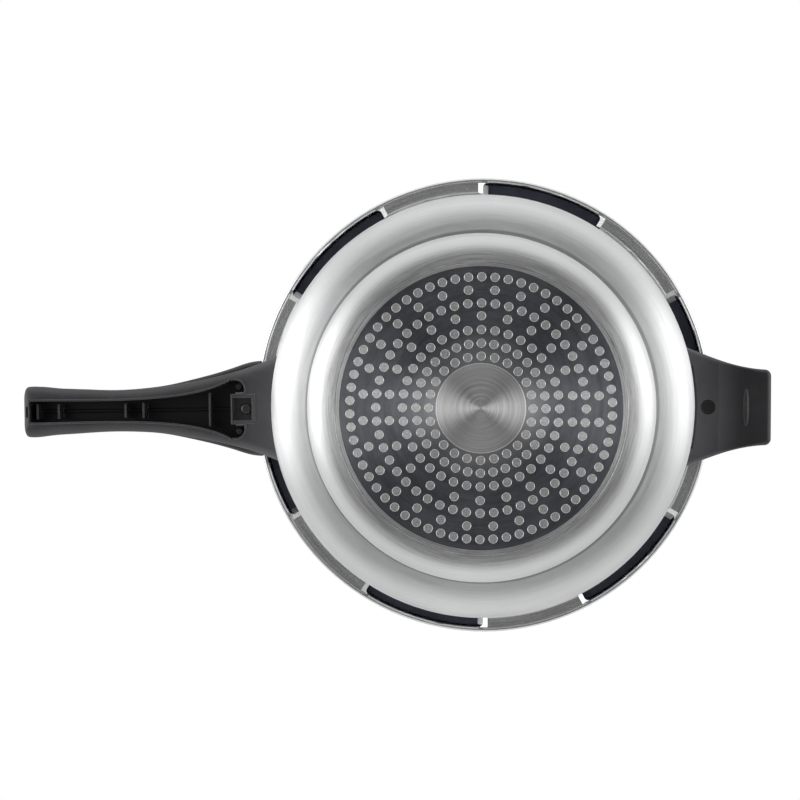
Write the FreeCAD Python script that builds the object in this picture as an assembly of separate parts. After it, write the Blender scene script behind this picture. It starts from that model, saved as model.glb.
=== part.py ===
"""Stovetop pressure cooker, in millimetres.

The pot's axis is Z, its base rests on z = 0, and the long handles point along +X. The helper handle points
along -X. Every separate physical piece is one node, written to parts/NODE.step.
"""

import FreeCAD, Part
import math
import os

V = FreeCAD.Vector
UP = V(0, 0, 1)
ORIGIN = V(0, 0, 0)

# How far a cutting solid runs past what it cuts
PAST = 9.0

# Pot
LOWER_RADIUS = 87.0
UPPER_RADIUS = 111.1
WALL = 3.0
BASE_THICKNESS = 5.0
BASE_CORNER = 14.0
STEP_Z = 58.0
SHOULDER_CORNER = 19.0
RIM_Z = 136.0
FLANGE_THICKNESS = 3.2
BEAD_RADIUS = 114.0
LUG_RADIUS = 120.7

# Lugs of the bayonet rim
LUG_COUNT = 6
LUG_STEP = 360 / LUG_COUNT
LID_LUG_CENTRE = 16.5
LID_LUG_ANGLE = 27.7
LID_LUG_INNER_RADIUS = 116.0
LID_LUG_THICKNESS = 2.5
LID_LUG_FILLET = 2.5
LID_LUG_BEVEL = (4.0, 2.2)
LUG_ROOT = 3.0
LUG_PLAY = 0.4
BODY_LUG_LEAD = 1.3
BODY_LUG_ANGLE = 28.0
LUG_RAMP = 2.2

# Induction plate and the pegs of aluminium in its holes: (count, ring radius, offset in half steps)
PLATE_RADIUS = 70.0
PLATE_BORE = 22.3
PLATE_THICKNESS = 1.0
PLATE_RECESS = 0.15
PEG_RADIUS = 2.125
PEG_RECESS = 0.1
PEG_TURN = 0.8
PEG_RINGS = (
    (62, 64.7, 1),
    (28, 58.4, 1),
    (48, 51.8, 0),
    (22, 45.5, 1),
    (36, 38.7, 0),
    (32, 32.0, 0),
    (24, 25.7, 0),
)
GROOVE_RADIUS = 72.0
GROOVE_WIDTH = 1.0
GROOVE_DEPTH = 0.5

# Lid
SKIRT_RADIUS = 124.2
LID_WALL = 2.5
SKIRT_Z = 129.9
LEDGE_Z = 145.5
LEDGE_INNER_RADIUS = 101.0
SKIRT_CORNER = 6.0
DOME_RADIUS = 224.7
DOME_TOP_Z = 168.0
BEAD_INNER_RADIUS = 107.5
BEAD_OUTER_RADIUS = 109.5
BEAD_DEPTH = 3.0

# Gasket
GASKET_INNER_RADIUS = 110.0
GASKET_OUTER_RADIUS = 121.3
GASKET_GAP = 0.15

# Long handles: (distance from the pot's axis, half width) down each outline
HANDLE_TIP = 249.2
LONG_HANDLE_TURN = -0.45
PARTING_Z = 128.0
PARTING_GAP = 0.5
BODY_HANDLE_Z = 108.0
LID_HANDLE_TOP_Z = 147.0
LID_HANDLE_NOSE_Z = 153.5
LID_HANDLE_NOSE_X = 100.0
LID_HANDLE_RISE_X = 150.0
BODY_HANDLE_OUTLINE = (
    (106, 31.2),
    (121.5, 24.4),
    (139.5, 19.1),
    (157, 15.4),
    (175, 12.7),
    (198.5, 11.5),
    (225, 12.6),
    (249.2, 14.2),
)
LID_HANDLE_OUTLINE = (
    (96, 16.0),
    (105, 21.5),
    (115, 25.6),
    (124, 26.2),
    (134, 23.5),
    (145, 20.2),
    (159, 16.7),
    (175, 13.4),
    (198.5, 11.4),
    (225, 12.3),
    (249.2, 13.9),
)
HANDLE_DRAFT = 0.6
HANDLE_EDGE = 6.0
PARTING_EDGE = 1.5
TIP_EDGE = 3.0
HANDLE_ROOF = 3.0
HANDLE_FIT = 0.3
STATION_STEP = 12.0

# Hollow under the long body handle: (distance from the pot's axis, half width)
CAVITY_OUTLINE = ((136, 15.6), (148, 10.8), (167, 7.2), (186, 5.8), (218, 5.5), (245.9, 5.8))
CAVITY_RIBS = (148.0, 184.2, 194.0, 230.6, 242.3)
RIB_THICKNESS = 1.0
RIB_SETBACK = 4.0
RIB_INSET = 1.7
LOBE_END_X = 128.7
LOBE_INNER_Y = 8.2
LOBE_CORNER = 5.0
WELL_X = (124.7, 135.2)
WELL_HALF_WIDTH = 6.2
WELL_DEPTH = 5.0
LID_CAVITY_OUTLINE = (
    (130, 12.0),
    (145, 14.5),
    (159, 12.0),
    (175, 8.9),
    (198.5, 6.9),
    (225, 7.8),
    (244.7, 9.0),
)
LID_CAVITY_RIBS = (177.0, 200.0, 223.0)
BOSS_RADIUS = 4.6
BOSS_HEIGHT = 4.0
LIP_WIDTH = 0.9
LIP_HEIGHT = 0.5
TIP_SLOT = (1.2, 6.0, 3.0)
TIP_SLOT_INSET = 2.6
SPINE_THICKNESS = 1.4
SPINE_HEIGHT = 2.0
POST_RADIUS = 1.6
POST_INSET = 3.6
POST_Y = 12.2
POST_SETBACK = 6.0

# Helper handle: (distance from the pot's axis, half width)
HELPER_TIP = 154.4
HELPER_TURN = 0.72
HELPER_Z = (106.0, 121.0)
HELPER_OUTLINE = ((106, 33.4), (111, 31.2), (119, 28.1), (130, 24.2), (142, 21.3), (154.4, 20.2))
HELPER_CORNER = 3.5
HELPER_EDGE = 2.5
HELPER_GAP_RADIUS = 115.0
HELPER_GAP_TOP = 108.2
HELPER_GAP_HALF_WIDTH = 22.5
HELPER_SCREW_X = 120.6
PLUG_RADIUS = 4.1
PLUG_DEPTH = 3.0
PLUG_RECESS = 0.3
PLUG_RIM = 0.9
PLUG_DISH = 0.5
DIP_RADIUS = 90.0
DIP_DEPTH = 0.8
DIP_X = 138.0
RIDGE_X = 141.0
RIDGE_SIZE = (1.3, 10.0, 0.9)

# Brackets, rivets and screws
BRACKET_THICKNESS = 2.5
BRACKET_HALF_WIDTH = 9.0
BRACKET_PLATE_Z = (110.0, 124.5)
BRACKET_ARM_Z = 117.0
BRACKET_ARM_END = 134.5
HELPER_BRACKET_PLATE_Z = (109.0, 119.5)
HELPER_BRACKET_ARM_Z = 116.5
HELPER_BRACKET_ARM_END = 128.0
RIVET_RADIUS = 2.0
RIVET_HEAD_RADIUS = 3.2
RIVET_HEAD_HEIGHT = 1.6
RIVET_ROOM = 0.4
RIVET_Y = 5.0
BODY_RIVET_Z = 113.6
HELPER_RIVET_Z = 112.7
SCREW_RADIUS = 2.0
SCREW_HEAD_RADIUS = 2.9
SCREW_HEAD_HEIGHT = 2.2
SCREW_SLOT = (0.9, 4.0, 1.0)
SCREW_BITE = 1.0
SCREW_END_GAP = 0.5
BODY_SCREW_X = 128.2
LID_SCREW_X = (136.0, 152.0)
LID_BRACKET_X = (101.5, 158.0)
LID_BRACKET_BEND_X = 125.2
LID_RIVET_X = 104.4

# Steam outlet and regulator weight, at the lid's centre
VENT_PAD_RADIUS = 13.0
VENT_STEM_RADIUS = 5.0
VENT_HEX_FLATS = 17.0
VENT_HEX_HEIGHT = 5.0
VENT_TUBE_RADIUS = 4.0
VENT_TUBE_HEIGHT = 14.0
VENT_TIP_HEIGHT = 4.0
VENT_TIP_RADIUS = 2.0
VENT_BORE_RADIUS = 1.0
WEIGHT_RADIUS = 14.5
WEIGHT_HEIGHT = 22.0
WEIGHT_SHOULDER = 13.0
WEIGHT_NECK_RADIUS = 12.0
WEIGHT_FLOOR_GAP = 1.2
WEIGHT_BORE_GAP = 0.35
CAP_RADIUS = 11.5
CAP_NECK_RADIUS = 9.0
CAP_TOP_RADIUS = 10.5
CAP_HEIGHT = 9.0

# Fusible safety plug and pressure indicator: (distance, angle from +X)
SAFETY_PLACE = (50.0, 125.0)
SAFETY_PAD_RADIUS = 11.0
SAFETY_HEX_FLATS = 16.0
SAFETY_HEIGHT = 8.0
SAFETY_STEM_RADIUS = 5.0
SAFETY_CORE_RADIUS = 2.6
SAFETY_CORE_DISH = 0.8
INDICATOR_PLACE = (74.0, 0.0)
INDICATOR_PAD_RADIUS = 9.0
INDICATOR_HEX_FLATS = 13.0
INDICATOR_BUSH_HEIGHT = 4.0
INDICATOR_STEM_RADIUS = 4.0
PIN_RADIUS = 1.8
PIN_CLEARANCE = 0.08
PIN_HEAD_RADIUS = 3.2
PIN_HEAD_HEIGHT = 2.5
PIN_HEAD_FILLET = 1.0
PIN_FOOT_THICKNESS = 1.0
PIN_SEAT_GAP = 0.1
PIN_PLAY = 0.4
PIN_TRAVEL = 4.0
SEAL_THICKNESS = 1.2
NUT_HEIGHT = 4.5
WASHER_THICKNESS = 1.2
STEM_END = 1.5
PAD_WALL = 1.2

shapes = {}


def box(x, y, z):
    """A box between the low and high ends given for each axis."""
    return Part.makeBox(x[1] - x[0], y[1] - y[0], z[1] - z[0], V(x[0], y[0], z[0]))


def cylinder(radius, z, x=0.0, y=0.0):
    """An upright cylinder between two heights."""
    return Part.makeCylinder(radius, z[1] - z[0], V(x, y, z[0]))


def ring(inner, outer, z, x=0.0, y=0.0):
    """An upright tube between two heights."""
    return cylinder(outer, z, x, y).cut(cylinder(inner, (z[0] - 1, z[1] + 1), x, y))


def hexagon(flats, z, x=0.0, y=0.0):
    """An upright hexagonal bar, by its size across flats."""
    radius = flats / math.sqrt(3)
    corners = [
        V(x + radius * math.cos(math.radians(a)), y + radius * math.sin(math.radians(a)), z[0])
        for a in range(0, 420, 60)
    ]
    return Part.Face(Part.makePolygon(corners)).extrude(V(0, 0, z[1] - z[0]))


def polar(radius, angle):
    """The point (x, y) at a distance from the axis, at an angle from +X."""
    return radius * math.cos(math.radians(angle)), radius * math.sin(math.radians(angle))


def sector(inner, outer, z, start, width):
    """A piece of a ring between two radii, over an angle."""
    piece = Part.makeCylinder(outer, z[1] - z[0], V(0, 0, z[0]), UP, width)
    piece.rotate(ORIGIN, UP, start)
    return piece.cut(cylinder(inner, (z[0] - 1, z[1] + 1)))


def slab(z):
    """Everything that a handle could reach between two heights."""
    return box((-2 * HANDLE_TIP, 2 * HANDLE_TIP), (-HANDLE_TIP, HANDLE_TIP), z)


def rounded_edges(corners, place):
    """Edges of a closed outline of (u, v, corner radius), with a tangent arc at each rounded corner."""
    count = len(corners)
    runs = []
    arcs = []
    for i, (u, v, radius) in enumerate(corners):
        here = V(u, v, 0)
        before = V(*corners[i - 1][:2], 0) - here
        after = V(*corners[(i + 1) % count][:2], 0) - here
        if not radius:
            runs.append((here, here))
            arcs.append(None)
            continue
        before.normalize()
        after.normalize()
        half = before.getAngle(after) / 2
        reach = radius / math.tan(half)
        bisector = (before + after).normalize()
        middle = here + bisector * (radius / math.sin(half) - radius)
        runs.append((here + before * reach, here + after * reach))
        arcs.append(middle)
    edges = []
    for i in range(count):
        enter, leave = runs[i]
        if arcs[i] is not None:
            edges.append(Part.Arc(place(enter), place(arcs[i]), place(leave)).toShape())
        following = runs[(i + 1) % count][0]
        if leave.distanceToPoint(following) > 1e-6:
            edges.append(Part.LineSegment(place(leave), place(following)).toShape())
    return edges


def upright(point):
    """A profile point (radius, height) in the XZ plane."""
    return V(point.x, 0, point.y)


def turned(corners):
    """A solid turned about Z from a rounded outline of (radius, height, corner radius)."""
    return Part.Face(Part.Wire(rounded_edges(corners, upright))).revolve(ORIGIN, UP, 360)


def smooth(points, x):
    """A smooth curve through points, read at x."""
    count = len(points)

    def slope(i):
        low = points[max(i - 1, 0)]
        high = points[min(i + 1, count - 1)]
        return (high[1] - low[1]) / (high[0] - low[0])

    for i in range(count - 1):
        (x0, y0), (x1, y1) = points[i], points[i + 1]
        if x <= x1 or i == count - 2:
            span = x1 - x0
            t = (x - x0) / span
            from_start = (1 + 2 * t) * (1 - t) ** 2 * y0 + t * (1 - t) ** 2 * span * slope(i)
            from_end = t * t * (3 - 2 * t) * y1 + t * t * (t - 1) * span * slope(i + 1)
            return from_start + from_end


def outline_solid(points, z, grow=0.0):
    """An upright solid whose plan follows a mirrored outline of (x, half width)."""
    start, end = points[0][0] - grow, points[-1][0] + grow
    xs = [start] + [p[0] for p in points[1:-1]] + [end]
    half = [smooth(points, x) + grow for x in xs]
    sides = []
    for sign in (1, -1):
        curve = Part.BSplineCurve()
        curve.interpolate([V(x, sign * h, z[0]) for x, h in zip(xs, half)])
        sides.append(curve.toShape())
    ends = [
        Part.LineSegment(V(x, h, z[0]), V(x, -h, z[0])).toShape()
        for x, h in ((start, half[0]), (end, half[-1]))
    ]
    wire = Part.Wire(Part.__sortEdges__(sides + ends))
    return Part.Face(wire).extrude(V(0, 0, z[1] - z[0]))


def handle_section(x, half, z, low_edge, high_edge):
    """One cross-section of a handle: a rectangle with its own lower and upper corner radii."""
    upper = half - HANDLE_DRAFT
    corners = [
        (-half, z[0], low_edge),
        (half, z[0], low_edge),
        (upper, z[1], high_edge),
        (-upper, z[1], high_edge),
    ]
    return Part.Wire(rounded_edges(corners, lambda p: V(x, p.x, p.y)))


def handle_stations(start, tip, nose_edge):
    """Places for the cross-sections, evenly along the handle and closer round the edges of its ends."""
    body_start, body_end = start + nose_edge, tip - TIP_EDGE
    count = max(2, round((body_end - body_start) / STATION_STEP))
    turn = [(1 - math.sin(math.radians(a)), 1 - math.cos(math.radians(a))) for a in (90, 75, 55, 30, 0)]
    nose = [(start + nose_edge * along, nose_edge * inset) for along, inset in turn[:-1] if nose_edge]
    middle = [(body_start + (body_end - body_start) * i / count, 0.0) for i in range(count)]
    end = [(tip - TIP_EDGE * along, TIP_EDGE * inset) for along, inset in reversed(turn)]
    return nose + middle + end


def lofted_handle(outline, start, tip, bottom, top, low_edge, high_edge, nose_edge=0.0):
    """A handle through smooth cross-sections; bottom and top are heights given at each x."""
    sections = []
    for x, inset in handle_stations(start, tip, nose_edge):
        half = smooth(outline, x) - inset
        z = (bottom(x) + inset, top(x) - inset)
        sections.append(handle_section(x, half, z, low_edge - inset * 0.4, high_edge))
    return Part.makeLoft(sections, True, False)


def dome_z(radius):
    """Height of the lid's outer dome."""
    return DOME_TOP_Z - DOME_RADIUS + math.sqrt(DOME_RADIUS**2 - radius**2)


def pad_top(place, pad_radius):
    """Height of a flat pad that just clears the dome."""
    return dome_z(max(0.0, place[0] - pad_radius))


def dome_edge(drop):
    """The dome's half profile, ending level with the ledge."""
    curve = Part.BSplineCurve()
    points = [V(r, 0, dome_z(r) - drop) for r in (0, 30, 60, 84)]
    points.append(V(LEDGE_INNER_RADIUS, 0, LEDGE_Z - drop))
    curve.interpolate(Points=points, InitialTangent=V(1, 0, 0), FinalTangent=V(1, 0, 0))
    return curve.toShape()


def screw(head_z, length, x, y=0.0):
    """A slotted screw standing head down, its head's top face against head_z."""
    head = cylinder(SCREW_HEAD_RADIUS, (head_z - SCREW_HEAD_HEIGHT, head_z), x, y)
    low_edges = [e for e in head.Edges if e.BoundBox.ZMax < head_z - SCREW_HEAD_HEIGHT + 0.01]
    head = head.makeFillet(SCREW_HEAD_HEIGHT * 0.4, low_edges)
    width, span, depth = (s / 2 for s in SCREW_SLOT)
    low = head_z - SCREW_HEAD_HEIGHT
    cross = [
        box((x - a, x + a), (y - b, y + b), (low - 1, low + depth * 2))
        for a, b in ((width, span), (span, width))
    ]
    stem = cylinder(SCREW_RADIUS, (head_z, head_z + length), x, y)
    return head.cut(cross).fuse(stem).removeSplitter()


def rivet(length, direction, place):
    """A rivet with a head outside each end of the stack it clamps; place is the stack's inner face."""
    stem = Part.makeCylinder(RIVET_RADIUS, length)
    heads = []
    for base, way in ((0, -1), (length, 1)):
        cap = Part.makeCylinder(RIVET_HEAD_RADIUS, RIVET_HEAD_HEIGHT, V(0, 0, base), V(0, 0, way))
        rim = [e for e in cap.Edges if abs(e.BoundBox.ZMax - base - way * RIVET_HEAD_HEIGHT) < 0.01]
        rim = [e for e in rim if e.BoundBox.ZLength < 0.01]
        heads.append(cap.makeFillet(RIVET_HEAD_HEIGHT * 0.7, rim))
    whole = stem.fuse(heads).removeSplitter()
    whole.Placement = FreeCAD.Placement(place, FreeCAD.Rotation(UP, direction))
    return whole


def peg_places():
    """Centre of every peg, ring by ring."""
    for count, radius, half_steps in PEG_RINGS:
        for i in range(count):
            yield polar(radius, (i + half_steps / 2) * 360 / count + PEG_TURN)


def base_disc(holes, z):
    """An upright ring the size of the induction plate, with round holes."""
    circles = [(0.0, 0.0, PLATE_RADIUS), (0.0, 0.0, PLATE_BORE)] + holes
    wires = [Part.Wire(Part.Circle(V(x, y, z[0]), UP, r).toShape()) for x, y, r in circles]
    return Part.Face(wires, "Part::FaceMakerBullseye").extrude(V(0, 0, z[1] - z[0]))


def make_base():
    """The induction plate, the room it takes out of the pot's base, and the set-back of its pegs."""
    holes = [(x, y, PEG_RADIUS) for x, y in peg_places()]
    top = PLATE_RECESS + PLATE_THICKNESS
    plate = base_disc(holes, (PLATE_RECESS, top))
    return plate, base_disc(holes, (-1, top)), base_disc([], (-1, PEG_RECESS))


def notch_centres():
    """Middle of each gap between the pot's lugs."""
    first = LID_LUG_CENTRE + BODY_LUG_LEAD + LUG_STEP / 2
    return [first + LUG_STEP * i for i in range(LUG_COUNT)]


def make_pot():
    flange_z = RIM_Z - FLANGE_THICKNESS
    inner_lower = LOWER_RADIUS - WALL
    inner_upper = UPPER_RADIUS - WALL
    pot = turned(
        [
            (0, 0, 0),
            (LOWER_RADIUS, 0, BASE_CORNER),
            (LOWER_RADIUS, STEP_Z, WALL),
            (UPPER_RADIUS, STEP_Z, SHOULDER_CORNER),
            (UPPER_RADIUS, flange_z, 1.2),
            (LUG_RADIUS, flange_z, 1.0),
            (LUG_RADIUS, RIM_Z, 1.0),
            (inner_upper, RIM_Z, 1.0),
            (inner_upper, STEP_Z + WALL, SHOULDER_CORNER - WALL),
            (inner_lower, STEP_Z + WALL, 2 * WALL),
            (inner_lower, BASE_THICKNESS, BASE_CORNER - WALL),
            (0, BASE_THICKNESS, 0),
        ]
    )
    notch_angle = LUG_STEP - BODY_LUG_ANGLE
    above = (flange_z - 1, RIM_Z + 1)
    cuts = [
        sector(BEAD_RADIUS, LUG_RADIUS + 1, above, centre - notch_angle / 2, notch_angle)
        for centre in notch_centres()
    ]
    for centre in notch_centres():
        for side in (-1, 1):
            ramp = box((BEAD_RADIUS, LUG_RADIUS + 1), (-LUG_RAMP, LUG_RAMP), (-LUG_RAMP, LUG_RAMP))
            ramp.rotate(ORIGIN, V(1, 0, 0), 45)
            ramp.translate(V(0, 0, flange_z))
            ramp.rotate(ORIGIN, UP, centre + side * notch_angle / 2)
            cuts.append(ramp.cut(cylinder(BEAD_RADIUS, (flange_z - PAST, flange_z + PAST))))
    plate, plate_room, set_back = make_base()
    half_groove = GROOVE_WIDTH / 2
    groove = turned(
        [
            (GROOVE_RADIUS - half_groove, -GROOVE_DEPTH, 0),
            (GROOVE_RADIUS + half_groove, -GROOVE_DEPTH, 0),
            (GROOVE_RADIUS + half_groove, 0, 0),
            (GROOVE_RADIUS, GROOVE_DEPTH, 0),
            (GROOVE_RADIUS - half_groove, 0, 0),
        ]
    )
    shapes["pot_body"] = pot.cut(cuts).cut(groove).cut(plate_room).cut(set_back)
    shapes["induction_plate"] = plate


def wall_bracket(sign, plate_z, arm_z, arm_end, screw_x):
    """A bracket on the pot's wall: a plate bent to the wall, and an arm out into the handle."""
    outer = UPPER_RADIUS + BRACKET_THICKNESS
    reach = sorted((sign * (UPPER_RADIUS - PAST), sign * (outer + 1)))
    across = (-BRACKET_HALF_WIDTH, BRACKET_HALF_WIDTH)
    plate = ring(UPPER_RADIUS, outer, plate_z).common(box(reach, across, plate_z))
    arm_x = sorted((sign * (UPPER_RADIUS + BRACKET_THICKNESS / 2), sign * arm_end))
    arm = box(arm_x, across, (arm_z, arm_z + BRACKET_THICKNESS))
    arm = arm.cut(cylinder(UPPER_RADIUS + BRACKET_THICKNESS / 2, plate_z))
    hole = cylinder(SCREW_RADIUS, plate_z, sign * screw_x)
    return plate.fuse(arm).removeSplitter().cut(hole)


def wall_rivets(sign, z):
    """Two rivets side by side through the pot's wall and a bracket's plate."""
    made = []
    for side in (1, -1):
        slant = side * RIVET_Y / UPPER_RADIUS
        outward = V(sign * math.cos(slant), math.sin(slant), 0)
        made.append(rivet(WALL + BRACKET_THICKNESS, outward, outward * (UPPER_RADIUS - WALL) + V(0, 0, z)))
    return made


def cavity_solid(z, grow=0.0):
    """The hollow's plan, with its two rounded lobes beside the screw well."""
    main = outline_solid(CAVITY_OUTLINE, z, grow)
    outer_y = CAVITY_OUTLINE[0][1]
    lobes = []
    for sign in (1, -1):
        inner = sign * (LOBE_INNER_Y - grow)
        outer = sign * (outer_y + grow)
        corner = LOBE_CORNER + grow
        end, start = LOBE_END_X - grow, CAVITY_OUTLINE[0][0] + 1
        corners = [(start, inner, 0), (end, inner, 1.5), (end, outer, corner), (start, outer, 0)]
        wire = Part.Wire(rounded_edges(corners, lambda p: V(p.x, p.y, z[0])))
        lobes.append(Part.Face(wire).extrude(V(0, 0, z[1] - z[0])))
    return main.fuse(lobes)


def well_solid(z, grow=0.0):
    """The screw well's plan."""
    x = (WELL_X[0] - grow, WELL_X[1] + grow)
    y = (-WELL_HALF_WIDTH - grow, WELL_HALF_WIDTH + grow)
    return box(x, y, z)


def cross_ribs(places, z):
    """Upright ribs across a handle's hollow, wider than it."""
    half = RIB_THICKNESS / 2
    return [box((x - half, x + half), (-UPPER_RADIUS, UPPER_RADIUS), z) for x in places]


def make_body_handle():
    top = PARTING_Z - PARTING_GAP / 2
    wall_radius = UPPER_RADIUS + HANDLE_FIT
    handle = lofted_handle(
        BODY_HANDLE_OUTLINE,
        BODY_HANDLE_OUTLINE[0][0],
        HANDLE_TIP,
        lambda x: BODY_HANDLE_Z,
        lambda x: top,
        HANDLE_EDGE,
        PARTING_EDGE,
    )
    handle = handle.cut([cylinder(wall_radius, (BODY_HANDLE_Z - PAST, top + PAST)), slab((top, top + PAST))])
    roof = top - HANDLE_ROOF
    lip_z = (BODY_HANDLE_Z - LIP_HEIGHT, BODY_HANDLE_Z + 1)
    hollow = cavity_solid((BODY_HANDLE_Z - PAST, roof))
    well_floor = BODY_HANDLE_Z + WELL_DEPTH
    well = well_solid((BODY_HANDLE_Z - PAST, well_floor))
    lips = cavity_solid(lip_z, LIP_WIDTH).fuse(well_solid(lip_z, 2 * LIP_WIDTH))
    spine_x = (CAVITY_OUTLINE[0][0] - PAST, CAVITY_OUTLINE[-1][0] + PAST)
    spine_y = (-SPINE_THICKNESS / 2, SPINE_THICKNESS / 2)
    ribs = cross_ribs(CAVITY_RIBS, (BODY_HANDLE_Z + RIB_SETBACK, roof + 1))
    ribs.append(box(spine_x, spine_y, (roof - SPINE_HEIGHT, roof + 1)))
    rib_room = outline_solid(CAVITY_OUTLINE, (BODY_HANDLE_Z, roof + 1), -RIB_INSET)
    ribs = [rib.common(rib_room) for rib in ribs]
    post_z = (BODY_HANDLE_Z + POST_SETBACK, roof + 1)
    posts = [cylinder(POST_RADIUS, post_z, LOBE_END_X + POST_INSET, s * POST_Y) for s in (1, -1)]
    handle = handle.fuse(lips).cut([hollow, well]).fuse(ribs + posts)
    pocket = wall_pocket(1, BRACKET_PLATE_Z, BRACKET_ARM_Z, BRACKET_ARM_END)
    screw_top = BRACKET_ARM_Z + BRACKET_THICKNESS + SCREW_BITE
    hole = cylinder(SCREW_RADIUS, (well_floor - 1, screw_top + SCREW_END_GAP), BODY_SCREW_X)
    slot_x, slot_y, slot_z = TIP_SLOT
    slot = box(
        (HANDLE_TIP - TIP_SLOT_INSET, HANDLE_TIP - TIP_SLOT_INSET + slot_x),
        (-slot_y / 2, slot_y / 2),
        (BODY_HANDLE_Z - 1, BODY_HANDLE_Z + slot_z),
    )
    shapes["body_handle"] = handle.cut([pocket, hole, slot]).removeSplitter()
    shapes["body_handle_bracket"] = wall_bracket(
        1, BRACKET_PLATE_Z, BRACKET_ARM_Z, BRACKET_ARM_END, BODY_SCREW_X
    )
    shapes["body_handle_screw"] = screw(well_floor, screw_top - well_floor, BODY_SCREW_X)
    shapes["body_handle_rivets"] = wall_rivets(1, BODY_RIVET_Z)


def wall_pocket(sign, plate_z, arm_z, arm_end):
    """Room inside a handle for its bracket and the heads of the rivets."""
    half = BRACKET_HALF_WIDTH
    depth = UPPER_RADIUS + BRACKET_THICKNESS + RIVET_HEAD_HEIGHT + RIVET_ROOM
    plate_x = sorted((sign * (UPPER_RADIUS - PAST), sign * depth))
    arm_x = sorted((sign * (UPPER_RADIUS - PAST), sign * arm_end))
    plate = box(plate_x, (-half, half), plate_z)
    arm = box(arm_x, (-half, half), (arm_z, arm_z + BRACKET_THICKNESS))
    return plate.fuse(arm)


def finger_ridge(z):
    """A lens-shaped ridge standing down from the helper handle's underside."""
    stretch = FreeCAD.Matrix()
    stretch.scale(*RIDGE_SIZE)
    ridge = Part.makeSphere(1.0).transformGeometry(stretch)
    ridge.translate(V(RIDGE_X, 0, z))
    return ridge


def make_helper_handle():
    low, high = HELPER_Z
    curve_solid = outline_solid(HELPER_OUTLINE, (low, high))
    tip_edges = [
        e
        for e in curve_solid.Edges
        if e.BoundBox.XMin > HELPER_TIP - 0.1 and e.BoundBox.ZLength > high - low - 0.1
    ]
    grip = curve_solid.makeFillet(HELPER_CORNER, tip_edges)
    wall_end = HELPER_OUTLINE[0][0] + 0.1
    rim = [e for e in grip.Edges if e.BoundBox.ZLength < 0.01 and e.BoundBox.XMax > wall_end]
    grip = grip.makeFillet(HELPER_EDGE, rim)
    grip = grip.cut(cylinder(UPPER_RADIUS + HANDLE_FIT, (low - PAST, high + PAST)))
    gap_z = (low - PAST, HELPER_GAP_TOP)
    gap = cylinder(HELPER_GAP_RADIUS, gap_z).common(
        box((0, HELPER_TIP), (-HELPER_GAP_HALF_WIDTH, HELPER_GAP_HALF_WIDTH), gap_z)
    )
    reach = HELPER_OUTLINE[0][1]
    dip = Part.makeCylinder(DIP_RADIUS, 2 * reach, V(DIP_X, -reach, low + DIP_DEPTH - DIP_RADIUS), V(0, 1, 0))
    grip = grip.cut([gap, dip]).fuse(finger_ridge(low + DIP_DEPTH))
    grip.rotate(ORIGIN, UP, 180)
    pocket = wall_pocket(-1, HELPER_BRACKET_PLATE_Z, HELPER_BRACKET_ARM_Z, HELPER_BRACKET_ARM_END)
    seat_z = low + PLUG_DEPTH + SCREW_HEAD_HEIGHT
    bore = cylinder(PLUG_RADIUS, (low - 1, seat_z), -HELPER_SCREW_X)
    screw_top = HELPER_BRACKET_ARM_Z + BRACKET_THICKNESS + SCREW_BITE
    hole = cylinder(SCREW_RADIUS, (seat_z - 1, screw_top + SCREW_END_GAP), -HELPER_SCREW_X)
    shapes["helper_handle"] = grip.cut([pocket, bore, hole]).removeSplitter()
    shapes["helper_handle_bracket"] = wall_bracket(
        -1, HELPER_BRACKET_PLATE_Z, HELPER_BRACKET_ARM_Z, HELPER_BRACKET_ARM_END, HELPER_SCREW_X
    )
    shapes["helper_handle_screw"] = screw(seat_z, screw_top - seat_z, -HELPER_SCREW_X)
    shapes["helper_handle_rivets"] = wall_rivets(-1, HELPER_RIVET_Z)
    plug_low = low + PLUG_RECESS
    plug = cylinder(PLUG_RADIUS, (plug_low, low + PLUG_DEPTH), -HELPER_SCREW_X)
    dish = cylinder(PLUG_RADIUS - PLUG_RIM, (low - 1, plug_low + PLUG_DISH), -HELPER_SCREW_X)
    shapes["helper_screw_plug"] = plug.cut(dish)


def seated_hole(lid, place, pad_radius, stem_radius):
    """A flat pad on the lid's dome, hollowed to the lid's thickness below, with a hole for a stem."""
    x, y = polar(*place)
    top = pad_top(place, pad_radius)
    pad = cylinder(pad_radius, (dome_z(place[0] + pad_radius) - 1, top), x, y)
    under = cylinder(pad_radius - PAD_WALL, (LEDGE_Z - PAST, top - LID_WALL), x, y)
    return lid.fuse(pad).cut([under, cylinder(stem_radius, (LEDGE_Z - PAST, top + 1), x, y)])


def lug_end(side, z):
    """The corner piece between a lug's end and the skirt, and the wedge that bends the end up."""
    inner = SKIRT_RADIUS - LID_WALL
    run, rise = LID_LUG_BEVEL
    reach = side * LID_LUG_FILLET
    corner = box((inner - LID_LUG_FILLET, inner + LID_WALL / 2), sorted((0, reach)), z)
    corner = corner.cut(cylinder(LID_LUG_FILLET, (z[0] - 1, z[1] + 1), inner - LID_LUG_FILLET, reach))
    outline = ((-run * 0.6, 0), (run * 0.4, rise), (run, rise), (run, -1), (-run * 0.6, -1))
    points = [V(LID_LUG_INNER_RADIUS - 2, side * along, z[0] + up) for along, up in outline]
    points.append(points[0])
    wedge = Part.Face(Part.makePolygon(points)).extrude(V(inner - LID_LUG_INNER_RADIUS + 2, 0, 0))
    return corner, wedge


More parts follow.
